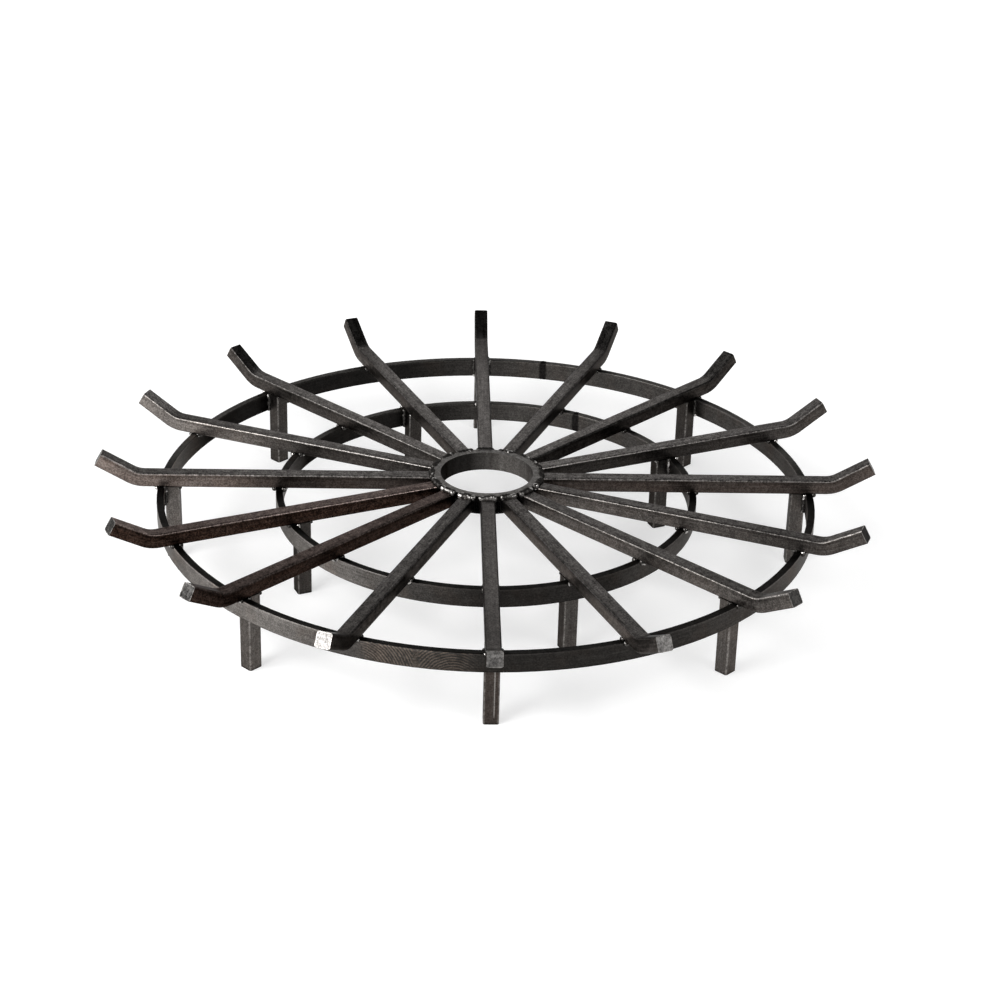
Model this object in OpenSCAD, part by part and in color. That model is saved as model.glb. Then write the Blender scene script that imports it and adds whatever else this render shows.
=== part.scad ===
// Log grate for a round fire pit.
// Sixteen square bars run out from a short piece of pipe like the spokes of a wheel, and turn up at their ends.
// They lie on two hoops of flat bar set on edge, and on twelve short legs of the same square bar.
// All of it is steel, welded into one rigid frame, so nothing moves.
// The origin is on the floor under the centre of the hub, +Z is up, and the first spoke points along -Y.

/* [Overall] */
// Span across the tips of two opposite spokes
tip_span = 1016; // [900:1:1300]
// Height of the spokes' underside above the floor
clearance_h = 101.6; // [70:0.1:200]

/* [Square bar] */
// Side of the solid square bar of the spokes and legs
bar_side = 19.05; // [15:0.05:23]
// Rounding along the bar's rolled edges
bar_edge_r = 2.5; // [0.5:0.1:4]

/* [Spoke ends] */
// Angle by which the end of each spoke turns up
bend_angle = 30; // [10:1:60]
// Radius on the hollow side of the bend
bend_inner_r = 28; // [15:1:60]
// Straight length of bar past the bend
tip_len = 46; // [20:1:90]

/* [Hoops] */
// Thickness of the flat bar of the hoops
flat_t = 9.525; // [6:0.005:14]
// Height of the flat bar, which stands on edge
flat_h = 25.4; // [15:0.1:40]
// Rounding along the flat bar's edges
flat_edge_r = 1.2; // [0.3:0.1:2.5]
// Distance from the outside of the outer hoop to the start of the spokes' bend
hoop_to_bend = 17; // [5:1:60]
// Outside diameter of the inner hoop
inner_ring_d = 549; // [400:1:650]
// Gap between the two ends of a rolled hoop, which its seam weld fills
seam_gap = 4; // [1:0.5:8]

/* [Hub] */
// Outside diameter of the pipe
hub_d = 139.7; // [128:0.1:200]
// Wall of the pipe
hub_wall = 9.525; // [4:0.005:20]
// Length of the piece of pipe, centred on the height of the spokes
hub_h = 25.4; // [20:0.1:40]

/* [Welds] */
// Radius of the bead across the top of each spoke's inner end
hub_bead_r = 3.6; // [2:0.1:4.5]
// How far the upright beads between the spokes stand out of the hub's wall
hub_gap_bead_r = 5; // [4.5:0.1:8]
// Radius of the upright beads between a leg and its hoop
leg_bead_r = 4; // [2:0.1:6]
// Radius of the beads under the spokes
hoop_bead_r = 3; // [1.5:0.1:4.5]
// How far a seam weld stands out of the hoop's faces
seam_proud = 0.8; // [0.2:0.1:2]

/* [Hidden] */

$fn = 96;
// Steps round a circle as wide as a hoop, where a narrow bead follows it
hoop_steps = 720;

// The wheel has sixteen spokes, counted counter-clockwise from the front one at -90 degrees.
spoke_count = 16;
spoke_step = 360 / spoke_count;
// An outer leg stands under every second spoke, and an inner leg under every fourth, from spoke 2 on.
outer_leg_every = 2;
inner_leg_every = 4;
inner_leg_first = 1;
// Places of the hoops' seams, in degrees counter-clockwise from the front spoke
outer_seam_angle = 167.6;
inner_seam_angle = 151;

// Heights
spoke_mid_z = clearance_h + bar_side / 2;
spoke_top_z = clearance_h + bar_side;
hoop_mid_z = clearance_h - flat_h / 2;
hoop_bottom_z = clearance_h - flat_h;

// The bend turns about an axis above the bar.
bend_mid_r = bend_inner_r + bar_side / 2;
bend_axis_z = spoke_top_z + bend_inner_r;
tip_run = (bend_mid_r + bar_side / 2) * sin(bend_angle) + tip_len * cos(bend_angle);
bend_start_r = tip_span / 2 - tip_run;
overall_h = bend_axis_z - bend_inner_r * cos(bend_angle) + tip_len * sin(bend_angle);

// Radii of the hub and hoops
hub_r = hub_d / 2;
outer_ring_r = bend_start_r - hoop_to_bend;
inner_ring_r = inner_ring_d / 2;

// The flat of a bar's face, between its rounded edges
bar_flat = bar_side - 2 * bar_edge_r;

// Where the tip joins the bend it reaches a little way in, thinner by a hair, so that the spoke is one solid.
tip_overlap = 0.5;
tip_slack = 0.04;

// A bead across a bar's face stays on this share of its flat.
bead_length_share = 0.9;
bead_length = bar_flat * bead_length_share;

// Space left between an upright bead and the hoop's curved inside
bead_clear = 0.05;

// Radius of the middle of a leg whose flat face stands against the inside of a hoop of radius ring_r
function leg_mid_r(ring_r) = sqrt(pow(ring_r - flat_t, 2) - pow(bar_flat / 2, 2)) - bar_side / 2;

// Angle of a place on the wheel, in spokes counted from the front one
function spoke_angle(i) = -90 + i * spoke_step;

function is_outer_leg(i) = i % outer_leg_every == 0;
function is_inner_leg(i) = i % inner_leg_every == inner_leg_first;

// Angle that a hoop is left open at its seam
function open_angle(ring_r) = 2 * asin(seam_gap / 2 / (ring_r - flat_t / 2));

// Cross-section of rolled bar, w by h, with edges rounded to r
module bar_section(w, h, r) {
    square([w - 2 * r, h], center = true);
    square([w, h - 2 * r], center = true);
    for (x = [-1, 1], y = [-1, 1])
        translate([x * (w / 2 - r), y * (h / 2 - r)])
            circle(r);
}

// Square bar of a given length along +X
module square_bar(length, side = bar_side) {
    rotate([90, 0, 90])
        linear_extrude(length)
            bar_section(side, side, bar_edge_r);
}

// Straight run of a spoke along +X, from the axis of the hub
module spoke_run() {
    translate([0, 0, spoke_mid_z])
        square_bar(bend_start_r);
}

// The upturned end of a spoke: the bend, then the straight tip
module spoke_end() {
    translate([bend_start_r, 0, bend_axis_z]) {
        rotate([90, 0, 0])
            rotate([0, 0, -90])
                rotate_extrude(angle = bend_angle)
                    translate([bend_mid_r, 0])
                        bar_section(bar_side, bar_side, bar_edge_r);
        rotate([0, -bend_angle, 0])
            translate([-tip_overlap, 0, -bend_mid_r])
                square_bar(tip_len + tip_overlap, bar_side - tip_slack);
    }
}

// The space inside the hub's outer wall, over the whole height
module hub_core() {
    cylinder(r = hub_r, h = overall_h);
}

// One spoke, its inner end cut to the curve of the hub it is welded to
module spoke(i) {
    color("#46413d")
        rotate([0, 0, spoke_angle(i)]) {
            difference() {
                spoke_run();
                hub_core();
            }
            spoke_end();
        }
}

// Short piece of pipe that gathers the spokes
module hub_ring() {
    color("#3d3a37")
        translate([0, 0, spoke_mid_z])
            difference() {
                cylinder(r = hub_r, h = hub_h, center = true);
                cylinder(r = hub_r - hub_wall, h = hub_h + hub_wall, center = true);
            }
}

// Flat bar rolled on edge into a hoop of outside radius ring_r, open at the seam
module hoop(ring_r, seam_angle) {
    open = open_angle(ring_r);
    rotate_extrude(angle = 360 - open, start = seam_angle - 90 + open / 2)
        translate([ring_r - flat_t / 2, hoop_mid_z])
            bar_section(flat_t, flat_h, flat_edge_r);
}

module inner_ring() {
    color("#36322f")
        hoop(inner_ring_r, inner_seam_angle);
}

module outer_ring() {
    color("#36322f")
        hoop(outer_ring_r, outer_seam_angle);
}

// Weld that fills a hoop's open seam and stands a little out of its faces
module ring_seam(ring_r, seam_angle) {
    open = open_angle(ring_r);
    rotate_extrude(angle = open, start = seam_angle - 90 - open / 2)
        translate([ring_r - flat_t / 2, hoop_mid_z])
            bar_section(flat_t + 2 * seam_proud, flat_h, flat_edge_r + seam_proud);
}

module inner_ring_seam() {
    color("#4a4744")
        ring_seam(inner_ring_r, inner_seam_angle);
}

module outer_ring_seam() {
    color("#4a4744")
        ring_seam(outer_ring_r, outer_seam_angle);
}

// Upright square bar against the inside of a hoop, from the floor up to its spoke
module leg(ring_r) {
    translate([leg_mid_r(ring_r), 0, 0])
        linear_extrude(clearance_h)
            bar_section(bar_side, bar_side, bar_edge_r);
}

module outer_leg(i) {
    color("#423e3a")
        rotate([0, 0, spoke_angle(i)])
            leg(outer_ring_r);
}

module inner_leg(i) {
    color("#423e3a")
        rotate([0, 0, spoke_angle(i)])
            leg(inner_ring_r);
}

// Cross-section of a bead in a corner: the quarter of a disc on the x and y sides given as 1 or -1
module corner_bead(r, x, y) {
    intersection() {
        circle(r);
        translate([x * r / 2, y * r / 2])
            square(r, center = true);
    }
}

// Bead bent round the wheel's axis, in the corner of an upright wall of radius wall_r and a level face at height z
module wall_bead(wall_r, z, r, side, up) {
    arc = 2 * asin(bead_length / 2 / wall_r);
    rotate_extrude(angle = arc, start = -arc / 2)
        translate([wall_r, z])
            corner_bead(r, side, up);
}

// Upright bead that fills the narrow gap between two spokes, against the hub
module hub_gap_bead() {
    translate([0, 0, clearance_h])
        linear_extrude(bar_side)
            difference() {
                translate([hub_r, 0])
                    circle(hub_gap_bead_r);
                circle(hub_r);
                for (side = [-1, 1])
                    rotate(side * spoke_step / 2)
                        translate([hub_r, 0])
                            square([hub_r, bar_side], center = true);
            }
}

module hub_welds() {
    color("#55504c")
        for (i = [0 : spoke_count - 1])
            rotate([0, 0, spoke_angle(i)]) {
                wall_bead(hub_r, spoke_top_z, hub_bead_r, 1, 1);
                rotate([0, 0, spoke_step / 2])
                    hub_gap_bead();
            }
}

// Beads under one spoke, outside the hoop and, where no leg stands, inside it
module ring_beads(ring_r, has_leg) {
    wall_bead(ring_r, clearance_h, hoop_bead_r, 1, -1);
    if (!has_leg)
        wall_bead(ring_r - flat_t, clearance_h, hoop_bead_r, -1, -1);
}

module inner_ring_welds() {
    color("#55504c")
        for (i = [0 : spoke_count - 1])
            rotate([0, 0, spoke_angle(i)])
                ring_beads(inner_ring_r, is_inner_leg(i));
}

module outer_ring_welds() {
    color("#55504c")
        for (i = [0 : spoke_count - 1])
            rotate([0, 0, spoke_angle(i)])
                ring_beads(outer_ring_r, is_outer_leg(i));
}

// Two upright beads that fill the corners between a leg and the inside of its hoop
module leg_upright_beads(ring_r) {
    inside_r = ring_r - flat_t;
    corner_x = sqrt(pow(inside_r, 2) - pow(bar_side / 2, 2));
    translate([0, 0, hoop_bottom_z + flat_edge_r])
        linear_extrude(flat_h - flat_edge_r)
            intersection() {
                circle(inside_r - bead_clear, $fn = hoop_steps);
                difference() {
                    for (y = [-1, 1])
                        translate([corner_x, y * bar_side / 2])
                            circle(leg_bead_r);
                    translate([leg_mid_r(ring_r), 0])
                        bar_section(bar_side, bar_side, bar_edge_r);
                    translate([inside_r, 0])
                        square(bar_flat, center = true);
                }
            }
}

// Bead under the spoke on the hub side of a leg
module leg_top_bead(ring_r) {
    translate([leg_mid_r(ring_r) - bar_side / 2, 0, clearance_h])
        rotate([90, 0, 0])
            linear_extrude(bead_length, center = true)
                corner_bead(hoop_bead_r, -1, -1);
}

module inner_leg_welds() {
    color("#55504c")
        for (i = [0 : spoke_count - 1])
            if (is_inner_leg(i))
                rotate([0, 0, spoke_angle(i)]) {
                    leg_upright_beads(inner_ring_r);
                    leg_top_bead(inner_ring_r);
                }
}

module outer_leg_welds() {
    color("#55504c")
        for (i = [0 : spoke_count - 1])
            if (is_outer_leg(i))
                rotate([0, 0, spoke_angle(i)]) {
                    leg_upright_beads(outer_ring_r);
                    leg_top_bead(outer_ring_r);
                }
}

hub_ring();
spoke(0);  // spoke_01
spoke(1);  // spoke_02
spoke(2);  // spoke_03
spoke(3);  // spoke_04
spoke(4);  // spoke_05
spoke(5);  // spoke_06
spoke(6);  // spoke_07
spoke(7);  // spoke_08
spoke(8);  // spoke_09
spoke(9);  // spoke_10
spoke(10);  // spoke_11
spoke(11);  // spoke_12
spoke(12);  // spoke_13
spoke(13);  // spoke_14
spoke(14);  // spoke_15
spoke(15);  // spoke_16
inner_ring();
outer_ring();
outer_leg(0);  // outer_leg_1
outer_leg(2);  // outer_leg_2
outer_leg(4);  // outer_leg_3
outer_leg(6);  // outer_leg_4
outer_leg(8);  // outer_leg_5
outer_leg(10);  // outer_leg_6
outer_leg(12);  // outer_leg_7
outer_leg(14);  // outer_leg_8
inner_leg(1);  // inner_leg_1
inner_leg(5);  // inner_leg_2
inner_leg(9);  // inner_leg_3
inner_leg(13);  // inner_leg_4
hub_welds();
inner_ring_welds();
outer_ring_welds();
inner_leg_welds();
outer_leg_welds();
inner_ring_seam();
outer_ring_seam();
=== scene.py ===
"""A welded log grate of dark steel bar on a plain pale floor.

The bars, hoops and hub are the frame's own solids with procedural steel on them.
The weld beads, which are plain fillets in the frame, are built here as rows of fused lumps.
"""

import math
import random

import bmesh
import bpy
from mathutils import Matrix, Vector


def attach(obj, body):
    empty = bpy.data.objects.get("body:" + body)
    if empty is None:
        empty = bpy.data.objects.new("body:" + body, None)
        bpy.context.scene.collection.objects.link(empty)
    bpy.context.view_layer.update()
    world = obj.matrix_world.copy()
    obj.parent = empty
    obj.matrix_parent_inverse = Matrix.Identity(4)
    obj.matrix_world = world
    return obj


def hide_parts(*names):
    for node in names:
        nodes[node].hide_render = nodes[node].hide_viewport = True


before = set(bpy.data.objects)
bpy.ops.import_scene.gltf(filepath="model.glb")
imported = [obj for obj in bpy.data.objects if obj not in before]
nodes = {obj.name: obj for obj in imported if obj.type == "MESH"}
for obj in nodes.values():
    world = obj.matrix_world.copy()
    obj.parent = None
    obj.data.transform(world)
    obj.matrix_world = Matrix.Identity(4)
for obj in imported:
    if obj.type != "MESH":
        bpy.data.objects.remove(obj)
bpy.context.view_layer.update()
scene = bpy.context.scene

# Sizes, in metres, as the CAD source has them.
BAR = 0.01905
BAR_EDGE = 0.0025
HALF = BAR / 2
FLAT_T = 0.009525
FLAT_H = 0.0254
HUB_R = 0.06985
HUB_H = 0.0254
INNER_R = 0.2745
OUTER_R = 0.427638
INNER_LEG_R = 0.255357
OUTER_LEG_R = 0.408529
CLEARANCE = 0.1016
SPOKE_MID_Z = CLEARANCE + HALF
SPOKE_TOP = CLEARANCE + BAR
HOOP_BOTTOM = CLEARANCE - FLAT_H
HUB_TOP = SPOKE_MID_Z + HUB_H / 2
BEND_START = 0.444638
BEND_MID_R = 0.037525
BEND_AXIS_Z = SPOKE_MID_Z + BEND_MID_R
BEND_ANGLE = math.radians(30)
TIP_LEN = 0.046
SPOKE_END = BEND_START + BEND_MID_R * BEND_ANGLE + TIP_LEN
SPOKES = 16
STEP = 360 / SPOKES
OUTER_SEAM = 77.6
INNER_SEAM = 61.0


def spoke_angle(i):
    """Direction of a spoke, in radians, counted from the front one."""
    return math.radians(-90 + i * STEP)


# The camera, at the photo's angle and framing.
FOCAL_PX = 2399.12
FRAME_PX = 1000
SENSOR = 36.0
TARGET = Vector((0.01823, 0.0, 0.084096))
DISTANCE = 3.14606
ELEVATION = math.radians(26.787)
ROLL = math.radians(1.561)
TURN = math.radians(-2.011)
CLIP_END = 200


def make_camera():
    back = Vector((0, -math.cos(ELEVATION), math.sin(ELEVATION)))
    right = Vector((1, 0, 0))
    up = back.cross(right)
    side = right * math.cos(ROLL) + up * math.sin(ROLL)
    top = up * math.cos(ROLL) - right * math.sin(ROLL)
    place = Matrix((side, top, back)).transposed().to_4x4()
    place.translation = TARGET + back * DISTANCE
    data = bpy.data.cameras.new("camera")
    data.sensor_width = SENSOR
    data.lens = FOCAL_PX / FRAME_PX * SENSOR
    data.clip_end = CLIP_END
    camera = bpy.data.objects.new("camera", data)
    camera.matrix_world = Matrix.Rotation(TURN, 4, "Z") @ place
    scene.collection.objects.link(camera)
    scene.camera = camera


class Tree:
    """Short calls for building a node tree."""

    def __init__(self, tree):
        self.tree = tree
        tree.nodes.clear()

    def add(self, kind, inputs=None, **settings):
        node = self.tree.nodes.new(kind)
        for key, value in settings.items():
            setattr(node, key, value)
        for key, value in (inputs or {}).items():
            self.plug(value, node.inputs[key])
        return node

    def plug(self, value, socket):
        if isinstance(value, bpy.types.NodeSocket):
            self.tree.links.new(value, socket)
        else:
            socket.default_value = value

    def math(self, operation, a, b=0.0, clamp=False):
        node = self.add("ShaderNodeMath", {0: a, 1: b}, operation=operation)
        node.use_clamp = clamp
        return node.outputs[0]

    def step(self, value, low, high, out_low=0.0, out_high=1.0):
        """Smooth step of a value from low to high."""
        node = self.add(
            "ShaderNodeMapRange",
            {"Value": value, "From Min": low, "From Max": high, "To Min": out_low, "To Max": out_high},
            interpolation_type="SMOOTHSTEP",
        )
        return node.outputs["Result"]

    def vector(self, x, y, z):
        return self.add("ShaderNodeCombineXYZ", {0: x, 1: y, 2: z}).outputs[0]

    def noise(self, vector, scale, detail=3.0, rough=0.55, warp=0.0):
        node = self.add(
            "ShaderNodeTexNoise",
            {"Vector": vector, "Scale": scale, "Detail": detail, "Roughness": rough, "Distortion": warp},
        )
        return node.outputs["Fac"]

    def mix(self, share, a, b, blend="MIX"):
        node = self.add("ShaderNodeMix", data_type="RGBA", blend_type=blend)
        self.plug(share, node.inputs["Factor"])
        for value, socket in ((a, node.inputs[6]), (b, node.inputs[7])):
            self.plug((*value, 1.0) if isinstance(value, tuple) else value, socket)
        return node.outputs[2]

    def blend(self, share, a, b):
        """A number between a and b."""
        node = self.add("ShaderNodeMix", {"Factor": share}, data_type="FLOAT")
        self.plug(a, node.inputs[2])
        self.plug(b, node.inputs[3])
        return node.outputs[0]

    def tone(self, value, stops):
        """A value looked up in a table of (place, tone), with straight lines between."""
        low, high = stops[0][0], stops[-1][0]
        share = self.add("ShaderNodeMapRange", {"Value": value, "From Min": low, "From Max": high})
        node = self.add("ShaderNodeValToRGB", {0: share.outputs["Result"]})
        points = node.color_ramp.elements
        while len(points) < len(stops):
            points.new(0.5)
        for point, (place, tone) in zip(points, stops):
            point.position = (place - low) / (high - low)
            point.color = (tone / TONE_SPAN, tone / TONE_SPAN, tone / TONE_SPAN, 1.0)
        return self.math("MULTIPLY", node.outputs["Color"], TONE_SPAN)

    def scaled(self, color, factor):
        return self.add("ShaderNodeVectorMath", {0: color, "Scale": factor}, operation="SCALE").outputs[0]

    def object_place(self, turn=0.0):
        """The place on the object, turned about the wheel's axis, as x, y and z."""
        place = self.add("ShaderNodeTexCoord").outputs["Object"]
        angles = {"Vector": place, "Angle": turn}
        turned = self.add("ShaderNodeVectorRotate", angles, rotation_type="Z_AXIS")
        return self.add("ShaderNodeSeparateXYZ", {0: turned.outputs[0]}).outputs[0:3]


# Colours of the steel, linear.
SCALE_GREY = (0.125, 0.120, 0.116)
SCALE_DARK = (0.075, 0.071, 0.067)
SIDE_GREY = (0.068, 0.064, 0.060)
SIDE_DARK = (0.033, 0.030, 0.028)
BROWN = (0.052, 0.041, 0.034)
# Painted glint on the hub beads' feet in front.
PAINTED_FRONT_GLINT = (0.24, 0.23, 0.22)
# Painted black shade low in the hub's gaps.
PAINTED_GAP_SHADE = (0.004, 0.004, 0.004)
# Painted reflection on a hoop's top: darker in front, lighter behind.
HOOP_TOP_PAINTED_FRONT = (0.024, 0.023, 0.022)
HOOP_TOP_PAINTED_BACK = (0.078, 0.074, 0.070)
BARE = (0.40, 0.38, 0.36)
CUT = (0.14, 0.135, 0.13)
WELD_GREY = (0.075, 0.071, 0.067)
WELD_DARK = (0.040, 0.037, 0.035)
SWIRL = (0.150, 0.118, 0.095)
BARE_WELD = (0.55, 0.53, 0.51)
SEAM_DARK = (0.009, 0.008, 0.008)
SEAM_GREY = (0.022, 0.020, 0.019)
EDGE_TINT = (0.42, 0.42, 0.42, 1.0)

# The patterns on the steel: noise scales, and how far each one lightens or darkens the colour.
BUMP_DISTANCE = 0.001
STEEL_BUMP, HUB_BUMP, WELD_BUMP, SEAM_BUMP = 0.55, 0.5, 0.06, 0.3
CLOUD_SCALE, MOTTLE_SCALE, HUB_MOTTLE_SCALE, GRAIN_SCALE, SPECK_SCALE = 22, 120, 130, 900, 430
STREAK_SCALE, HUB_STREAK_SCALE, STREAK_STRETCH, HUB_STREAK_STRETCH = 420, 110, 0.035, 0.08
WELD_MOTTLE_SCALE, WELD_GRAIN_SCALE, WELD_PATCH_SCALE, PAINTED_GLINT_SCALE = 260, 1500, 120, 55
SPECK_GAIN, STREAK_GAIN, MOTTLE_GAIN, LOWEST_GAIN = (0.76, 1.24), (0.90, 1.10), (0.80, 1.20), 0.2
EDGE_SPECK_GAIN, HUB_SPECK_GAIN = (0.88, 1.08), (0.75, 1.25)
MOTTLE_HEIGHT, GRAIN_HEIGHT = 0.22, 0.09
STEEL_ROUGH, STREAK_ROUGH, HUB_ROUGH = (0.32, 0.42), (-0.04, 0.04), (0.34, 0.42)
BARE_ROUGH, BARE_SHARE, LEG_WEAR = 0.3, 0.55, 0.6
PATCH_ROUGH, PAINTED_GAP_SHADE_ROUGH, PAINTED_GLINT_ROUGH, SEAM_ROUGH = 0.18, 0.6, 0.32, (0.5, 0.4)
# Where the painted glint and the painted gap shade on the hub beads fade in: distance from the axis, and y
# toward the front.
NEAR_HUB, PAINTED_GLINT_FRONT = (0.12, 0.10), (-0.030, -0.042)

# How much browner than grey a spoke's sides and top are, where it isn't the plain value below.
SIDE_WARMTH = {4: 0.15, 12: 0.15, 13: 0.60, 14: 0.45}
TOP_WARMTH = {13: 0.2, 14: 0.2}
PLAIN_SIDE_WARMTH, PLAIN_TOP_WARMTH, LEG_WARMTH, FRONT_LEG_WARMTH = 0.03, 0.02, 0.02, 0.11
# How strong the specks are on the roughest and the smoothest spokes.
SIDE_GRIT = {6: 2.0, 13: 2.6, 14: 2.4, 15: 2.0}
TOP_GRIT = {0: 1.3, 8: 1.3}
PLAIN_SIDE_GRIT, PLAIN_TOP_GRIT, PLAIN_GRIT = 1.35, 2.0, 0.9
# One shade for the sides and one for the top of each spoke, from the front one round: partly each bar's own
# tone, partly painted light and reflection.
SIDE_TONE_AND_PAINTED_LIGHT = (1.0, 2.2, 2.0, 2.0, 1.0, 0.55, 0.35, 1.1, 1.0, 1.8, 1.1, 1.0, 0.8, 0.35, 0.37, 1.0)
TOP_TONE_AND_PAINTED_LIGHT = (1.0, 1.0, 1.0, 1.0, 1.15, 1.35, 1.3, 1.2, 1.35, 1.35, 1.4, 1.15, 1.15, 1.0, 0.7, 0.85)
# A top is a little lighter toward the hub. It changes between these two places along the spoke.
TOP_INNER, TOP_OUTER, TOP_CHANGE = 1.06, 0.80, (0.30, 0.42)
# Painted reflection: how much lighter or darker the top of some upturned tips is than the rest of the top.
TIP_TOP_PAINTED_REFLECTION = {2: 2.0, 3: 1.6, 8: 0.5, 9: 0.45, 10: 0.35, 11: 1.6, 13: 1.8}
TIP_CHANGE = (0.452, 0.474)
# Painted reflection: how much lighter or darker the outer half of some spokes' sides is than the inner half.
OUTER_HALF_PAINTED_REFLECTION = {3: 0.55, 5: 1.6, 6: 1.6, 11: 3.0, 12: 3.0}
OUTER_CHANGE = (0.26, 0.38)
# Painted highlight along each spoke's front-upper edge, on the side that faces the camera: how strong it is
# on each spoke.
PAINTED_EDGE_HIGHLIGHT = (0.5, 0.4, 1.3, 1.2, 2.2, 1.6, 0.3, 0.4, 0.5, 0.5, 1.0, 1.4, 2.8, 1.7, 1.0, 0.5)
# Painted shade just over and under that highlight, and on the other edges.
PAINTED_SHADE_OVER_EDGE, PAINTED_SHADE_UNDER_EDGE, PAINTED_SHADE_OTHER_EDGES = 0.85, 0.75, 0.6
# Where these bands begin and end round the edge, in degrees above the level.
UNDER_FROM, EDGE_FROM, OVER_FROM, OVER_TO = (-62, -38), (5, 25), (65, 85), (120, 150)
# The sawn ends that are brighter or duller than the others: partly the cuts' own tone, partly painted
# reflection.
END_TONE_AND_PAINTED_REFLECTION = {0: 1.8, 1: 2.3, 2: 0.8, 3: 0.3, 13: 0.5, 14: 0.6, 15: 1.3}
# Painted light and shade of both hoops round their turn, in degrees from the right.
HOOP_PAINTED_LIGHT = (
    (-180, 4.0), (-128, 3.0), (-110, 1.0), (-90, 0.35), (-60, 0.45), (-38, 1.3),
    (-15, 3.2), (20, 1.4), (80, 1.4), (105, 0.3), (155, 0.3), (180, 4.0),
)
# The highest shade that Tree.tone can hold.
TONE_SPAN = 6.0
# Painted shade on a hoop's lower edge, the darker steel beside its seam, and how much lighter its upper
# shoulder is with a painted highlight.
HOOP_LOW_EDGE_PAINTED_SHADE, HOOP_AT_SEAM, HOOP_SHOULDER_PAINTED_HIGHLIGHT = 0.55, 0.3, 0.45
# Painted light and shade on the hub: its inside is darker on the left than on the right, and its outside wall
# is darkened with painted shade.
HUB_PAINTED_SHADE_LEFT, HUB_PAINTED_LIGHT_RIGHT, HUB_CHANGE, HUB_OUTSIDE_PAINTED_SHADE, HUB_RIM = 0.35, 2.2, (-0.030, 0.035), 0.12, 1.6
# One shade for each leg, partly its own tone and partly painted light. Its foot is darker with painted shade,
# up to FOOT_H.
LEG_TONE_AND_PAINTED_LIGHT = {
    "inner_leg_1": 1.2, "inner_leg_2": 0.7, "inner_leg_3": 0.7, "inner_leg_4": 0.7,
    "outer_leg_1": 0.8, "outer_leg_2": 1.65, "outer_leg_3": 1.3, "outer_leg_4": 0.8,
    "outer_leg_5": 1.0, "outer_leg_6": 1.0, "outer_leg_7": 1.9, "outer_leg_8": 1.7,
}
LEG_FOOT_PAINTED_SHADE, FOOT_H = 0.45, 0.004
# The scratch down the front leg: its place across, where its width and its lower end fade in, and strength.
SCRATCH_AT, SCRATCH_FADE, SCRATCH_RAGGED = 0.0034, (0.0013, 0.0008), 0.0008
SCRATCH_LOW, SCRATCH_SHARE = (0.006, 0.016), 0.45
# The grinding arcs on the outer hoop: direction in degrees, the two sets' centres, reach and strength.
SWIRL_AT, SWIRL_LEFT, SWIRL_RIGHT, SWIRL_RISE = -102, 0.070, 0.045, 0.030
SWIRL_SPLIT, SWIRL_REACH, SWIRL_SHARE = 0.004, (0.045, 0.080), 0.7
SWIRL_SCALE, SWIRL_WARP, SWIRL_DETAIL_SCALE = 92.0, 3.0, 0.8
# Offsets that give each bar its own stretch of the patterns.
SPOKE_SEED, LEG_SEED, LEG_SEED_START, HOOP_SEED = 3.1, 1.7, 50, 40


def principled(t, color, rough, height, strength):
    """The steel shader, which every part of the grate ends in."""
    bump = t.add("ShaderNodeBump", {"Height": height, "Strength": strength, "Distance": BUMP_DISTANCE})
    shader = t.add(
        "ShaderNodeBsdfPrincipled",
        {
            "Base Color": color,
            "Roughness": rough,
            "Metallic": 1.0,
            "Specular Tint": EDGE_TINT,
            "Normal": bump.outputs[0],
        },
    )
    t.add("ShaderNodeOutputMaterial", {"Surface": shader.outputs[0]})


def steel_patterns(t, along, across, height, seed):
    """Noise that every steel surface uses: even mottling, fine grain, and streaks along the bar."""
    even = t.vector(t.math("ADD", along, seed), across, height)
    drawn = t.vector(t.math("ADD", t.math("MULTIPLY", along, STREAK_STRETCH), seed), across, height)
    return {
        "cloud": t.noise(even, CLOUD_SCALE, 3),
        "mottle": t.noise(even, MOTTLE_SCALE, 5, 0.65, 0.4),
        "grain": t.noise(even, GRAIN_SCALE, 3, 0.6),
        "streak": t.noise(drawn, STREAK_SCALE, 3, 0.6),
        "speck": t.noise(even, SPECK_SCALE, 2, 0.6),
    }


def texture_gain(t, p, grit):
    """Fine specks and lines along the bar, as a factor on the colour."""
    specks = t.step(p["speck"], 0.34, 0.66, *SPECK_GAIN)
    lines = t.step(p["streak"], 0.36, 0.64, *STREAK_GAIN)
    blotch = t.step(p["mottle"], 0.3, 0.7, *MOTTLE_GAIN)
    gain = t.math("SUBTRACT", t.math("MULTIPLY", t.math("MULTIPLY", specks, lines), blotch), 1.0)
    return t.math("MAXIMUM", t.math("ADD", t.math("MULTIPLY", gain, grit), 1.0), LOWEST_GAIN)


def dress(t, p, color, rough, height, wear, grit=PLAIN_GRIT):
    """Adds bare metal where wear is 1, and joins all of it to the shader."""
    broken = t.step(t.math("ADD", p["mottle"], t.math("MULTIPLY", p["grain"], 0.6)), 0.55, 0.95)
    worn = t.math("MULTIPLY", wear, broken)
    color = t.mix(t.math("MULTIPLY", worn, BARE_SHARE), color, BARE)
    color = t.scaled(color, texture_gain(t, p, grit))
    rough = t.blend(worn, rough, BARE_ROUGH)
    principled(t, color, rough, height, STEEL_BUMP)


def edge_wear_and_shade_mask(t, a, b):
    """1 on the rounded long edges of a square bar whose cross-section coordinates are a and b: worn edges on
    the legs, painted shade on the spokes' edges.
    """
    reach = t.math("ADD", t.math("ABSOLUTE", a), t.math("ABSOLUTE", b))
    return t.step(reach, BAR - BAR_EDGE * 0.85, BAR - BAR_EDGE * 0.6)


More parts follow.
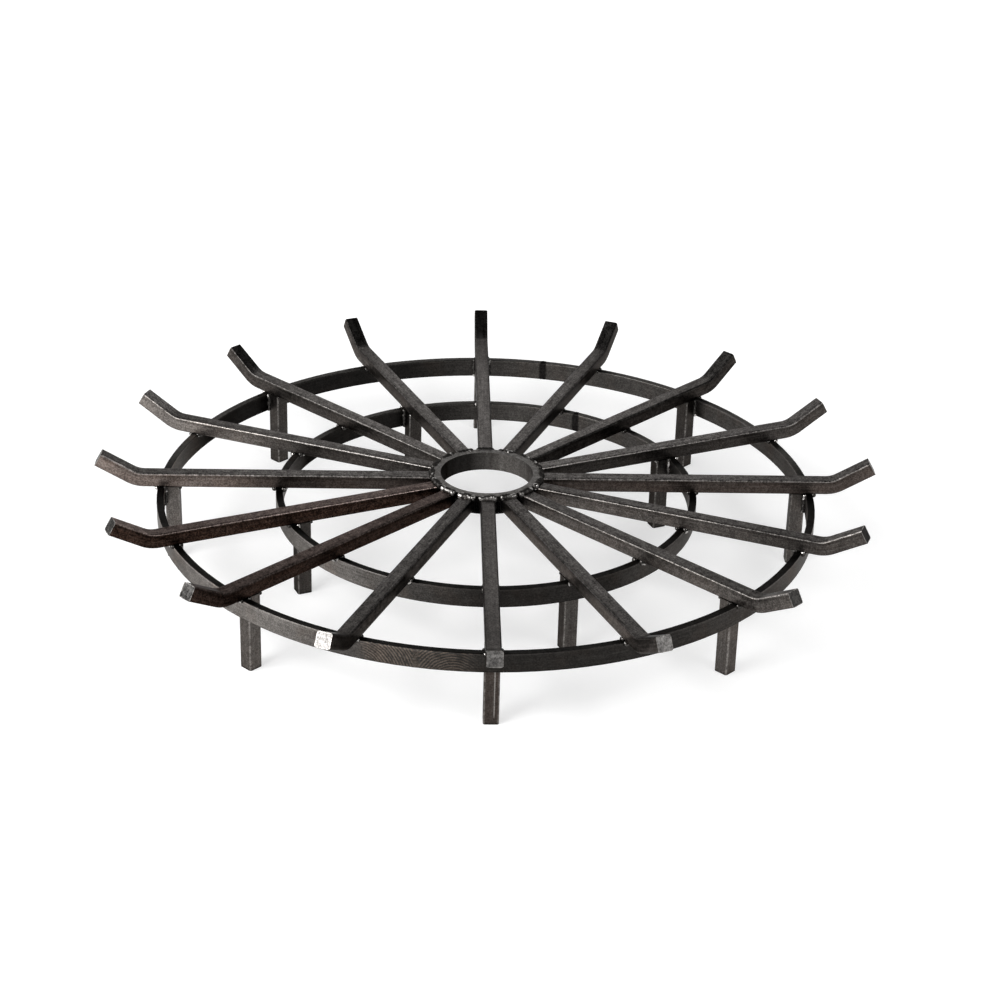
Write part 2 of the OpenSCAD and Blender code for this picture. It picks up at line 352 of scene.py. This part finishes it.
def bar_color(t, p, topness, side_tone, top_tone, warmth, top_warmth):
    """Grey mill scale, browner and darker away from the top face."""
    side = t.mix(t.step(p["cloud"], 0.3, 0.7, 0.5, 0.0), SIDE_DARK, BROWN)
    side = t.mix(t.step(p["grain"], 0.3, 0.75), side, SIDE_GREY)
    side = t.mix(1.0, side, (1 + warmth, 1.0, 1 - 0.35 * warmth), "MULTIPLY")
    side = t.mix(t.step(p["streak"], 0.4, 0.8, 0.0, 0.5), side, SIDE_GREY)
    top = t.mix(t.step(p["grain"], 0.3, 0.7), SCALE_DARK, SCALE_GREY)
    top = t.mix(t.step(p["streak"], 0.4, 0.8, 0.0, 0.6), top, SCALE_GREY)
    top = t.mix(1.0, top, (1 + top_warmth, 1.0, 1 - 0.25 * top_warmth), "MULTIPLY")
    return t.mix(topness, t.scaled(side, side_tone), t.scaled(top, top_tone))


def bar_rough(t, p):
    rough = t.step(p["mottle"], 0.25, 0.75, *STEEL_ROUGH)
    return t.math("ADD", rough, t.step(p["streak"], 0.3, 0.7, *STREAK_ROUGH))


def bar_height(t, p):
    mottle = t.math("MULTIPLY", p["mottle"], MOTTLE_HEIGHT)
    return t.math("ADD", mottle, t.math("MULTIPLY", p["grain"], GRAIN_HEIGHT))


def front_side(i):
    """The side of a spoke, 1 or -1 across it, that the photo shows."""
    return -1.0 if math.cos(spoke_angle(i)) > 0 else 1.0


def painted_edge_light(t, i, p, front, height):
    """The painted highlight along a spoke's rounded front-upper edge, with painted shade just above it and
    just under it.
    """
    flat = HALF - BAR_EDGE
    lean = t.math("ARCTAN2", t.math("SUBTRACT", height, flat), t.math("SUBTRACT", front, flat))
    lean = t.math("MULTIPLY", lean, 180 / math.pi)
    edge = t.math("MULTIPLY", PAINTED_EDGE_HIGHLIGHT[i], t.step(p["speck"], 0.3, 0.6, *EDGE_SPECK_GAIN))
    gain = t.blend(t.step(lean, *UNDER_FROM), 1.0, PAINTED_SHADE_UNDER_EDGE)
    gain = t.blend(t.step(lean, *EDGE_FROM), gain, edge)
    gain = t.blend(t.step(lean, *OVER_FROM), gain, PAINTED_SHADE_OVER_EDGE)
    return t.blend(t.step(lean, *OVER_TO), gain, 1.0)


def spoke_material(i):
    """Steel for one spoke, with the patterns bent along with the bar."""
    material = new_material(f"spoke_steel_{i + 1:02d}")
    t = Tree(material.node_tree)
    x, y, z = t.object_place(-spoke_angle(i))
    dx = t.math("SUBTRACT", x, BEND_START)
    dz = t.math("SUBTRACT", BEND_AXIS_Z, z)
    bend = t.math("MINIMUM", t.math("MAXIMUM", t.math("ARCTAN2", dx, dz), 0.0), BEND_ANGLE)
    sin, cos = t.math("SINE", bend), t.math("COSINE", bend)
    past = t.math("SUBTRACT", t.math("MULTIPLY", dx, cos), t.math("MULTIPLY", dz, sin))
    depth = t.math("ADD", t.math("MULTIPLY", dx, sin), t.math("MULTIPLY", dz, cos))
    along = t.math("ADD", t.math("ADD", past, BEND_START), t.math("MULTIPLY", bend, BEND_MID_R))
    height = t.math("SUBTRACT", BEND_MID_R, depth)
    p = steel_patterns(t, along, y, height, SPOKE_SEED * i)
    # Shades of the sides and top: partly the bar's own tone, partly painted light and reflection, also on the
    # outer half and the upturned tip.
    side_tone = t.step(along, *OUTER_CHANGE, SIDE_TONE_AND_PAINTED_LIGHT[i], SIDE_TONE_AND_PAINTED_LIGHT[i] * OUTER_HALF_PAINTED_REFLECTION.get(i, 1.0))
    top_tone = t.step(along, *TOP_CHANGE, TOP_TONE_AND_PAINTED_LIGHT[i] * TOP_INNER, TOP_TONE_AND_PAINTED_LIGHT[i] * TOP_OUTER)
    top_tone = t.math("MULTIPLY", top_tone, t.step(along, *TIP_CHANGE, 1.0, TIP_TOP_PAINTED_REFLECTION.get(i, 1.0)))
    topness = t.step(height, HALF * 0.7, HALF * 0.98)
    warmth, top_warmth = SIDE_WARMTH.get(i, PLAIN_SIDE_WARMTH), TOP_WARMTH.get(i, PLAIN_TOP_WARMTH)
    color = bar_color(t, p, topness, side_tone, top_tone, warmth, top_warmth)
    rough = bar_rough(t, p)
    # Painted highlight on the front-upper edge that faces the camera, with painted shade beside it.
    front = t.math("MULTIPLY", y, front_side(i))
    color = t.scaled(color, painted_edge_light(t, i, p, front, height))
    # Painted shade on the rear upper edge and on the lower edges.
    edge = edge_wear_and_shade_mask(t, y, height)
    upper = t.step(height, HALF * 0.5, HALF * 0.6)
    rear = t.math("MULTIPLY", t.math("MULTIPLY", edge, upper), t.step(front, -HALF * 0.4, -HALF * 0.6))
    lower = t.math("SUBTRACT", edge, upper, True)
    color = t.scaled(color, t.blend(t.math("MAXIMUM", rear, lower), 1.0, PAINTED_SHADE_OTHER_EDGES))
    # The sawn end, whose shade is partly painted reflection.
    end = t.step(along, SPOKE_END - 0.0006, SPOKE_END - 0.0001)
    cut = t.scaled(t.mix(t.step(p["mottle"], 0.3, 0.7), SCALE_GREY, CUT), END_TONE_AND_PAINTED_REFLECTION.get(i, 1.0))
    rim = t.math("MAXIMUM", t.math("ABSOLUTE", y), t.math("ABSOLUTE", height))
    cut = t.mix(t.step(rim, HALF - 0.0012, HALF - 0.0004, 0.0, 0.6), cut, BARE)
    color = t.mix(end, color, cut)
    height = bar_height(t, p)
    grit = t.blend(topness, SIDE_GRIT.get(i, PLAIN_SIDE_GRIT), TOP_GRIT.get(i, PLAIN_TOP_GRIT))
    dress(t, p, color, rough, height, 0.0, grit)
    return material


def leg_material(i, leg_r, shade, scratched=False):
    """Steel for one leg, with painted shade at its foot. The front one has a scratch."""
    material = new_material(f"leg_steel_{i + 1:02d}_{round(leg_r * 1000)}")
    t = Tree(material.node_tree)
    x, y, z = t.object_place(-spoke_angle(i))
    x = t.math("SUBTRACT", x, leg_r)
    p = steel_patterns(t, z, x, y, LEG_SEED * i + LEG_SEED_START)
    # Painted shade at the foot. The leg's shade is partly painted light.
    tone = t.step(z, 0.0, FOOT_H, LEG_FOOT_PAINTED_SHADE * shade, shade)
    color = bar_color(t, p, 0.0, tone, 1.0, FRONT_LEG_WARMTH if scratched else LEG_WARMTH, 0.0)
    wear = t.math("MULTIPLY", edge_wear_and_shade_mask(t, x, y), LEG_WEAR)
    if scratched:
        off = t.math("ABSOLUTE", t.math("SUBTRACT", y, SCRATCH_AT))
        off = t.math("ADD", off, t.math("MULTIPLY", p["mottle"], SCRATCH_RAGGED))
        scratch = t.math("MULTIPLY", t.step(off, *SCRATCH_FADE), t.step(x, HALF - 0.001, HALF - 0.0005))
        scratch = t.math("MULTIPLY", scratch, t.step(z, *SCRATCH_LOW))
        color = t.mix(t.math("MULTIPLY", scratch, SCRATCH_SHARE), color, BARE)
    dress(t, p, color, bar_rough(t, p), bar_height(t, p), wear)
    return material


def painted_turn_light(t, stops):
    """Painted light and shade of a hoop round its turn."""
    x, y, _ = t.object_place()
    return t.tone(t.math("MULTIPLY", t.math("ARCTAN2", y, x), 180 / math.pi), stops)


def swirl_share(t, p, along, height, ring_r, seam):
    """Arcs left by a grinding disc on part of the hoop's outer face."""
    middle = math.radians(SWIRL_AT - seam + 180) * ring_r
    middle = (middle + math.pi * ring_r) % (2 * math.pi * ring_r) - math.pi * ring_r
    near = t.math("SUBTRACT", along, middle)
    reach = t.math("ABSOLUTE", near)
    left = t.vector(t.math("ADD", near, SWIRL_LEFT), t.math("ADD", height, SWIRL_RISE), 0.0)
    right = t.vector(t.math("SUBTRACT", near, SWIRL_RIGHT), t.math("ADD", height, SWIRL_RISE), 0.0)
    side = t.step(near, -SWIRL_SPLIT, SWIRL_SPLIT)
    place = t.add("ShaderNodeMix", data_type="VECTOR")
    for value, socket in ((side, 0), (left, 4), (right, 5)):
        t.plug(value, place.inputs[socket])
    arcs = t.add(
        "ShaderNodeTexWave",
        {
            "Vector": place.outputs[1],
            "Scale": SWIRL_SCALE,
            "Distortion": SWIRL_WARP,
            "Detail": 3.0,
            "Detail Scale": SWIRL_DETAIL_SCALE,
        },
        wave_type="RINGS",
        rings_direction="Z",
    ).outputs["Fac"]
    lines = t.step(t.math("MULTIPLY", arcs, t.step(p["mottle"], 0.3, 0.55, 0.5, 1.0)), 0.3, 0.9)
    return t.math("MULTIPLY", lines, t.step(reach, *SWIRL_REACH, SWIRL_SHARE, 0.0))


def hoop_material(name, ring_r, seam, swirls):
    """Steel for a hoop: darker beside its seam, with painted shade low down, a painted highlight at its upper
    shoulder, painted light and shade round its turn and a painted reflection on its top.
    """
    material = new_material(name)
    t = Tree(material.node_tree)
    x, y, z = t.object_place(-math.radians(seam + 180))
    radius = t.math("SQRT", t.math("ADD", t.math("MULTIPLY", x, x), t.math("MULTIPLY", y, y)))
    angle = t.math("ARCTAN2", y, x)
    along = t.math("MULTIPLY", angle, ring_r)
    across = t.math("SUBTRACT", radius, ring_r - FLAT_T / 2)
    height = t.math("SUBTRACT", z, CLEARANCE - FLAT_H / 2)
    p = steel_patterns(t, along, across, height, ring_r * HOOP_SEED)
    color = t.mix(t.step(p["grain"], 0.3, 0.75), SIDE_DARK, SIDE_GREY)
    color = t.mix(t.step(p["streak"], 0.4, 0.8, 0.0, 0.5), color, SIDE_GREY)
    color = t.mix(t.step(p["cloud"], 0.45, 0.75, 0.0, 0.5), color, BROWN)
    if swirls:
        color = t.mix(swirl_share(t, p, along, height, ring_r, seam), color, SWIRL)
    # Painted light and shade round the turn.
    color = t.scaled(color, painted_turn_light(t, HOOP_PAINTED_LIGHT))
    from_seam = t.math("MULTIPLY", t.math("SUBTRACT", math.pi, t.math("ABSOLUTE", angle)), ring_r)
    from_seam = t.math("ADD", from_seam, t.math("MULTIPLY", p["mottle"], 0.002))
    color = t.scaled(color, t.step(from_seam, 0.0050, 0.0075, HOOP_AT_SEAM, 1.0))
    # Painted highlight on the upper shoulder.
    shoulder = t.math("MULTIPLY", t.step(height, FLAT_H / 2 - 0.0030, FLAT_H / 2 - 0.0018), HOOP_SHOULDER_PAINTED_HIGHLIGHT)
    color = t.scaled(color, t.math("ADD", shoulder, 1.0))
    # Painted shade on the lower edge.
    color = t.scaled(color, t.step(height, 0.0008 - FLAT_H / 2, 0.0018 - FLAT_H / 2, HOOP_LOW_EDGE_PAINTED_SHADE, 1.0))
    # Painted reflection on the top: darker in front, lighter behind.
    top = t.step(height, FLAT_H / 2 - 0.0009, FLAT_H / 2 - 0.0002)
    behind = t.step(t.object_place()[1], 0.02, 0.12)
    color = t.mix(top, color, t.mix(behind, HOOP_TOP_PAINTED_FRONT, HOOP_TOP_PAINTED_BACK))
    dress(t, p, color, bar_rough(t, p), bar_height(t, p), 0.0)
    return material


def hub_material():
    """Steel for the pipe in the middle, with streaks down its wall, painted shade on the left of its inside
    and on its outside wall, and painted light on the right of its inside.
    """
    material = new_material("hub_steel")
    t = Tree(material.node_tree)
    x, y, z = t.object_place()
    drawn = t.vector(x, y, t.math("MULTIPLY", z, HUB_STREAK_STRETCH))
    streak = t.noise(drawn, HUB_STREAK_SCALE, 4, 0.6)
    even = t.vector(x, y, z)
    p = {"mottle": t.noise(even, HUB_MOTTLE_SCALE, 5, 0.65, 0.4), "grain": t.noise(even, GRAIN_SCALE, 3, 0.6)}
    color = t.mix(t.step(streak, 0.2, 0.85), SIDE_DARK, SIDE_GREY)
    # Painted shade on the left of the inside, painted light on the right.
    color = t.scaled(color, t.step(x, *HUB_CHANGE, HUB_PAINTED_SHADE_LEFT, HUB_PAINTED_LIGHT_RIGHT))
    radius = t.math("SQRT", t.math("ADD", t.math("MULTIPLY", x, x), t.math("MULTIPLY", y, y)))
    # Painted shade on the outside wall.
    color = t.scaled(color, t.step(radius, HUB_R - 0.0012, HUB_R - 0.0004, 1.0, HUB_OUTSIDE_PAINTED_SHADE))
    top = t.step(z, HUB_TOP - 0.0006, HUB_TOP - 0.0001)
    rim = t.scaled(t.mix(t.step(p["mottle"], 0.3, 0.7), SCALE_GREY, SCALE_DARK), HUB_RIM)
    color = t.mix(top, color, rim)
    speck = t.noise(even, SPECK_SCALE, 2, 0.6)
    color = t.scaled(color, t.step(speck, 0.34, 0.66, *HUB_SPECK_GAIN))
    rough = t.step(streak, 0.3, 0.7, *HUB_ROUGH)
    principled(t, color, rough, bar_height(t, p), HUB_BUMP)
    return material


def weld_material(name, shade, rough_low, rough_high, patches):
    """Bead metal with bright patches. At the hub it has a painted glint on the beads' feet in front, and
    painted black shade low down.
    """
    material = new_material(name)
    t = Tree(material.node_tree)
    place = t.add("ShaderNodeTexCoord").outputs["Object"]
    _, y, z = t.add("ShaderNodeSeparateXYZ", {0: place}).outputs
    mottle = t.noise(place, WELD_MOTTLE_SCALE, 4, 0.6)
    grain = t.noise(place, WELD_GRAIN_SCALE, 2)
    color = t.scaled(t.mix(t.step(mottle, 0.35, 0.65), WELD_DARK, WELD_GREY), shade)
    patch = t.step(t.noise(place, WELD_PATCH_SCALE, 1, 0.5), patches, patches + 0.06)
    color = t.mix(t.math("MULTIPLY", patch, 0.8), color, BARE_WELD)
    reach = t.add("ShaderNodeVectorMath", {0: place, 1: (1.0, 1.0, 0.0)}, operation="MULTIPLY").outputs[0]
    reach = t.add("ShaderNodeVectorMath", {0: reach}, operation="LENGTH").outputs["Value"]
    near_hub = t.step(reach, *NEAR_HUB)
    # Painted glint on the hub beads' feet toward the front.
    foot = t.math("MULTIPLY", t.step(reach, HUB_R + 0.0024, HUB_R + 0.0034), near_hub)
    foot = t.math("MULTIPLY", foot, t.step(z, SPOKE_TOP - 0.0004, SPOKE_TOP + 0.0002))
    foot = t.math("MULTIPLY", foot, t.step(y, *PAINTED_GLINT_FRONT))
    foot = t.math("MULTIPLY", foot, t.step(t.noise(place, PAINTED_GLINT_SCALE, 0), 0.50, 0.58))
    color = t.mix(foot, color, PAINTED_FRONT_GLINT)
    # Painted black shade low down near the hub, in the gaps between spokes.
    low = t.step(z, SPOKE_TOP - 0.001, SPOKE_TOP - 0.005)
    gap_shade = t.math("MULTIPLY", low, near_hub)
    color = t.mix(gap_shade, color, PAINTED_GAP_SHADE)
    rough = t.blend(patch, t.step(mottle, 0.3, 0.7, rough_high, rough_low), PATCH_ROUGH)
    rough = t.blend(foot, t.blend(gap_shade, rough, PAINTED_GAP_SHADE_ROUGH), PAINTED_GLINT_ROUGH)
    principled(t, color, rough, grain, WELD_BUMP)
    return material


def seam_material():
    """The dark ground-down weld that closes a hoop."""
    material = new_material("seam_metal")
    t = Tree(material.node_tree)
    place = t.add("ShaderNodeTexCoord").outputs["Object"]
    mottle = t.noise(place, WELD_MOTTLE_SCALE, 4, 0.6)
    color = t.mix(t.step(mottle, 0.35, 0.65), SEAM_DARK, SEAM_GREY)
    principled(t, color, t.step(mottle, 0.3, 0.7, *SEAM_ROUGH), mottle, SEAM_BUMP)
    return material


def new_material(name):
    material = bpy.data.materials.new(name)
    material.use_nodes = True
    return material


def wear_material(node, material):
    node.data.materials.clear()
    node.data.materials.append(material)


# The weld beads: radius and pitch of their lumps, then how far a row is moved or shortened, in metres.
HUB_BEAD_R, HUB_BEAD_PITCH = 0.0043, 0.0028
HUB_BEAD_OUT, HUB_BEAD_UP, HUB_BEAD_SHORT = 0.0010, 0.0006, 0.0012
GAP_BEAD_R, GAP_BEAD_PITCH = 0.0030, 0.0042
GAP_BEAD_FOOT, GAP_BEAD_DROP = 0.001, 0.008
HOOP_BEAD_R, HOOP_BEAD_PITCH = 0.0034, 0.0040
HOOP_BEAD_OUT, HOOP_BEAD_DROP, HOOP_BEAD_SHORT = 0.0006, 0.0012, 0.0015
LEG_BEAD_R, LEG_BEAD_PITCH = 0.0031, 0.0030
LEG_BEAD_OUT, LEG_BEAD_IN, LEG_BEAD_FOOT, LEG_BEAD_DROP = 0.0006, 0.0012, 0.002, 0.0015
TOP_BEAD_R, TOP_BEAD_PITCH = 0.0022, 0.0024
TOP_BEAD_OUT, TOP_BEAD_DROP, TOP_BEAD_SHORT = 0.0004, 0.0008, 0.002
SEAM_BEAD_R, SEAM_BEAD_PITCH = 0.0022, 0.0022
SEAM_BEAD_IN, SEAM_BEAD_SPREAD, SEAM_BEAD_SHORT = 0.0016, 0.0027, 0.0017
WELD_VOXEL = 0.0006
WELD_SEED = 7
# Smoothing rounds of the livelier and of the smoother beads.
LIVELY, SMOOTH = 4, 6


def polar(radius, angle, z, across=0.0):
    """A point at a radius along a direction, moved sideways by across."""
    c, s = math.cos(angle), math.sin(angle)
    return Vector((radius * c - across * s, radius * s + across * c, z))


def add_ball(bm, centre, radius, rng):
    """One lump: a ball squashed and turned at random."""
    squash = Matrix.Diagonal([radius * rng.uniform(0.88, 1.12) for _ in range(3)]).to_4x4()
    turn = Matrix.Rotation(rng.uniform(0, math.tau), 4, "Z")
    turn = turn @ Matrix.Rotation(rng.uniform(0, math.tau), 4, "X")
    place = Matrix.Translation(centre) @ turn @ squash
    bmesh.ops.create_icosphere(bm, subdivisions=3, radius=1.0, matrix=place)


def add_row(bm, start, end, radius, pitch, rng, stray=0.12, swell=0.16):
    """A row of lumps from start to end, each a little off in place and size."""
    count = max(2, round((end - start).length / pitch) + 1)
    for k in range(count):
        centre = start.lerp(end, k / (count - 1))
        centre += Vector([rng.uniform(-stray, stray) * radius for _ in range(3)])
        add_ball(bm, centre, radius * rng.uniform(1 - swell, 1 + swell), rng)


def weld_piece(name, bm, replaced, material, smoothing=LIVELY):
    """Fuses the lumps in bm to one skin and hands the piece to the frame."""
    mesh = bpy.data.meshes.new(name + "_lumps")
    bm.to_mesh(mesh)
    bm.free()
    rough = bpy.data.objects.new(name + "_lumps", mesh)
    scene.collection.objects.link(rough)
    remesh = rough.modifiers.new("fuse", "REMESH")
    remesh.mode = "VOXEL"
    remesh.voxel_size = WELD_VOXEL
    smooth = rough.modifiers.new("smooth", "SMOOTH")
    smooth.factor = 0.5
    smooth.iterations = smoothing
    bpy.context.view_layer.update()
    graph = bpy.context.evaluated_depsgraph_get()
    fused = bpy.data.meshes.new_from_object(rough.evaluated_get(graph))
    bpy.data.objects.remove(rough)
    fused.name = name
    fused.materials.clear()
    fused.materials.append(material)
    fused.polygons.foreach_set("use_smooth", [True] * len(fused.polygons))
    piece = bpy.data.objects.new(name, fused)
    scene.collection.objects.link(piece)
    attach(piece, "root")
    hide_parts(replaced)
    print(name, len(fused.polygons), "faces")


def add_cross_row(bm, centre_r, angle, z, reach, radius, pitch, rng, *unevenness):
    """A row of lumps across a bar, from one side of its middle line to the other."""
    start, end = polar(centre_r, angle, z, -reach), polar(centre_r, angle, z, reach)
    add_row(bm, start, end, radius, pitch, rng, *unevenness)


def hub_weld_lumps(rng):
    """A bead over each spoke's inner end, and an upright one in each gap."""
    bm = bmesh.new()
    reach, top_z = HALF - HUB_BEAD_SHORT, SPOKE_TOP + HUB_BEAD_UP
    low, high = CLEARANCE + GAP_BEAD_FOOT, SPOKE_TOP - GAP_BEAD_DROP
    for i in range(SPOKES):
        a = spoke_angle(i)
        add_cross_row(bm, HUB_R + HUB_BEAD_OUT, a, top_z, reach, HUB_BEAD_R, HUB_BEAD_PITCH, rng, 0.12, 0.12)
        gap = a + math.radians(STEP / 2)
        add_row(bm, polar(HUB_R, gap, low), polar(HUB_R, gap, high), GAP_BEAD_R, GAP_BEAD_PITCH, rng)
    return bm


def hoop_weld_lumps(ring_r, has_leg, rng):
    """Beads under each spoke along the hoop, on the outside, and inside where no leg stands."""
    bm = bmesh.new()
    reach, z = HALF - HOOP_BEAD_SHORT, CLEARANCE - HOOP_BEAD_DROP
    for i in range(SPOKES):
        walls = [ring_r + HOOP_BEAD_OUT]
        if not has_leg(i):
            walls.append(ring_r - FLAT_T - HOOP_BEAD_OUT)
        for wall_r in walls:
            add_cross_row(bm, wall_r, spoke_angle(i), z, reach, HOOP_BEAD_R, HOOP_BEAD_PITCH, rng, 0.25, 0.25)
    return bm


def leg_weld_lumps(ring_r, leg_r, has_leg, rng):
    """Upright beads where each leg meets the hoop, and one across under the spoke."""
    bm = bmesh.new()
    corner = math.sqrt((ring_r - FLAT_T) ** 2 - HALF**2) - LEG_BEAD_IN
    inner_r, reach, z = leg_r - HALF - TOP_BEAD_OUT, HALF - TOP_BEAD_SHORT, CLEARANCE - TOP_BEAD_DROP
    for i in range(SPOKES):
        if not has_leg(i):
            continue
        a = spoke_angle(i)
        for side in (-1, 1):
            across = side * (HALF + LEG_BEAD_OUT)
            low = polar(corner, a, HOOP_BOTTOM + LEG_BEAD_FOOT, across)
            high = polar(corner, a, CLEARANCE - LEG_BEAD_DROP, across)
            add_row(bm, low, high, LEG_BEAD_R, LEG_BEAD_PITCH, rng, 0.2, 0.2)
        add_cross_row(bm, inner_r, a, z, reach, TOP_BEAD_R, TOP_BEAD_PITCH, rng)
    return bm


def seam_lumps(ring_r, seam, rng):
    """Nine upright rows that fill the joint of a hoop."""
    bm = bmesh.new()
    a = math.radians(seam)
    low, high = HOOP_BOTTOM + SEAM_BEAD_SHORT, CLEARANCE - SEAM_BEAD_SHORT
    for row_r in (ring_r - SEAM_BEAD_IN, ring_r - FLAT_T / 2, ring_r - FLAT_T + SEAM_BEAD_IN):
        for across in (-SEAM_BEAD_SPREAD, 0.0, SEAM_BEAD_SPREAD):
            start, end = polar(row_r, a, low, across), polar(row_r, a, high, across)
            add_row(bm, start, end, SEAM_BEAD_R, SEAM_BEAD_PITCH, rng, 0.06, 0.06)
    return bm


def is_outer_leg(i):
    return i % 2 == 0


def is_inner_leg(i):
    return i % 4 == 1


def make_welds():
    rng = random.Random(WELD_SEED)
    metal = weld_material("weld_metal", 0.9, 0.20, 0.30, 0.56)
    dull = weld_material("weld_metal_dull", 0.8, 0.38, 0.52, 0.60)
    weld_piece("hub_weld_beads", hub_weld_lumps(rng), "hub_welds", dull, SMOOTH)
    outer = hoop_weld_lumps(OUTER_R, is_outer_leg, rng)
    weld_piece("outer_ring_weld_beads", outer, "outer_ring_welds", metal)
    inner = hoop_weld_lumps(INNER_R, is_inner_leg, rng)
    weld_piece("inner_ring_weld_beads", inner, "inner_ring_welds", metal)
    outer = leg_weld_lumps(OUTER_R, OUTER_LEG_R, is_outer_leg, rng)
    weld_piece("outer_leg_weld_beads", outer, "outer_leg_welds", dull, SMOOTH)
    inner = leg_weld_lumps(INNER_R, INNER_LEG_R, is_inner_leg, rng)
    weld_piece("inner_leg_weld_beads", inner, "inner_leg_welds", dull, SMOOTH)
    dark = seam_material()
    weld_piece("outer_ring_seam_bead", seam_lumps(OUTER_R, OUTER_SEAM, rng), "outer_ring_seam", dark)
    weld_piece("inner_ring_seam_bead", seam_lumps(INNER_R, INNER_SEAM, rng), "inner_ring_seam", dark)


def dress_nodes():
    for i in range(SPOKES):
        wear_material(nodes[f"spoke_{i + 1:02d}"], spoke_material(i))
        if is_outer_leg(i):
            leg = f"outer_leg_{i // 2 + 1}"
            wear_material(nodes[leg], leg_material(i, OUTER_LEG_R, LEG_TONE_AND_PAINTED_LIGHT[leg], i == 0))
        if is_inner_leg(i):
            leg = f"inner_leg_{i // 4 + 1}"
            wear_material(nodes[leg], leg_material(i, INNER_LEG_R, LEG_TONE_AND_PAINTED_LIGHT[leg]))
    outer = hoop_material("outer_hoop_steel", OUTER_R, OUTER_SEAM, True)
    wear_material(nodes["outer_ring"], outer)
    inner = hoop_material("inner_hoop_steel", INNER_R, INNER_SEAM, False)
    wear_material(nodes["inner_ring"], inner)
    wear_material(nodes["hub_ring"], hub_material())


# The floor: a wide plate with a low raised rim. It is a little darker near the part, where its glow is
# weaker: a painted shade round the part.
FLOOR_R = 60.0
BACKDROP_RISE = 0.07
FLOOR_ALBEDO = 0.50
FLOOR_LIFT = 0.57
FLOOR_SHADE_AT = (-0.07, 0.08, 0.0)
FLOOR_LIFT_FAR = 0.95
FLOOR_SHADE_REACH = (0.38, 0.92)
FLOOR_DROP = 0.0003
# The studio's light by direction: dark overhead, dimmer toward the front and the right.
OVERHEAD, OVERHEAD_LEVEL = (0.58, 0.82), 0.03
FRONT, FRONT_LEVEL = (-0.2, 0.55), 0.35
RIGHT, RIGHT_LEVEL = (0.1, 0.8), 0.55
# Lamps: azimuth and elevation in degrees, distance, width and height in metres, power in watts.
SOFTBOXES = {
    "key_left": (-142, 32, 3.0, 1.7, 1.6, 90),
    "side_left": (172, 34, 3.0, 2.0, 1.2, 24),
    "key_right": (-42, 45, 3.2, 1.0, 1.0, 24),
}


def shown_directly(t):
    """1 for what the camera sees, directly, in a reflection or through glass."""
    path = t.add("ShaderNodeLightPath")
    seen = t.math("MAXIMUM", path.outputs["Is Camera Ray"], path.outputs["Is Glossy Ray"])
    return t.math("MAXIMUM", seen, path.outputs["Is Transmission Ray"])


def make_floor():
    bm = bmesh.new()
    bmesh.ops.create_circle(bm, cap_ends=True, segments=96, radius=FLOOR_R)
    rim = [edge for edge in bm.edges if edge.is_boundary]
    wall = bmesh.ops.extrude_edge_only(bm, edges=rim)["geom"]
    wall = [vert for vert in wall if isinstance(vert, bmesh.types.BMVert)]
    bmesh.ops.translate(bm, vec=(0, 0, FLOOR_R * BACKDROP_RISE), verts=wall)
    mesh = bpy.data.meshes.new("floor")
    bm.to_mesh(mesh)
    bm.free()
    floor = bpy.data.objects.new("floor", mesh)
    floor.location.z = -FLOOR_DROP
    scene.collection.objects.link(floor)
    material = new_material("floor_white")
    t = Tree(material.node_tree)
    place = t.add("ShaderNodeTexCoord").outputs["Object"]
    away = t.add("ShaderNodeVectorMath", {0: place, 1: FLOOR_SHADE_AT}, operation="DISTANCE")
    # Painted shade: the glow is weaker near the part.
    lift = t.step(away.outputs["Value"], *FLOOR_SHADE_REACH, FLOOR_LIFT, FLOOR_LIFT_FAR)
    glow = t.add("ShaderNodeEmission", {"Strength": t.math("MULTIPLY", lift, shown_directly(t))})
    matt = t.add("ShaderNodeBsdfDiffuse", {"Color": (FLOOR_ALBEDO, FLOOR_ALBEDO, FLOOR_ALBEDO, 1)})
    both = t.add("ShaderNodeAddShader", {0: matt.outputs[0], 1: glow.outputs[0]})
    t.add("ShaderNodeOutputMaterial", {"Surface": both.outputs[0]})
    mesh.materials.append(material)


def make_world():
    world = bpy.data.worlds.new("studio")
    world.use_nodes = True
    scene.world = world
    t = Tree(world.node_tree)
    direction = t.add("ShaderNodeTexCoord").outputs["Generated"]
    x, y, z = t.add("ShaderNodeSeparateXYZ", {0: direction}).outputs[0:3]
    level = t.step(z, *OVERHEAD, 1.0, OVERHEAD_LEVEL)
    level = t.math("MULTIPLY", level, t.step(y, *FRONT, FRONT_LEVEL, 1.0))
    level = t.math("MULTIPLY", level, t.step(x, *RIGHT, 1.0, RIGHT_LEVEL))
    color = t.add("ShaderNodeCombineColor", {0: level, 1: level, 2: level}).outputs[0]
    back = t.add("ShaderNodeBackground", {"Color": color, "Strength": 1.0})
    t.add("ShaderNodeOutputWorld", {"Surface": back.outputs[0]})


def make_softbox(name, azimuth, elevation, distance, width, height, power):
    a, e = math.radians(azimuth), math.radians(elevation)
    towards = Vector((math.cos(a) * math.cos(e), math.sin(a) * math.cos(e), math.sin(e)))
    data = bpy.data.lights.new(name, "AREA")
    data.shape = "RECTANGLE"
    data.size, data.size_y = width, height
    data.energy = power
    lamp = bpy.data.objects.new(name, data)
    lamp.location = towards * distance
    lamp.rotation_mode = "QUATERNION"
    lamp.rotation_quaternion = towards.to_track_quat("Z", "Y")
    lamp.visible_camera = False
    scene.collection.objects.link(lamp)


make_camera()
make_world()
make_floor()
for lamp_name, settings in SOFTBOXES.items():
    make_softbox(lamp_name, *settings)
dress_nodes()
make_welds()

scene.view_settings.view_transform = "Standard"
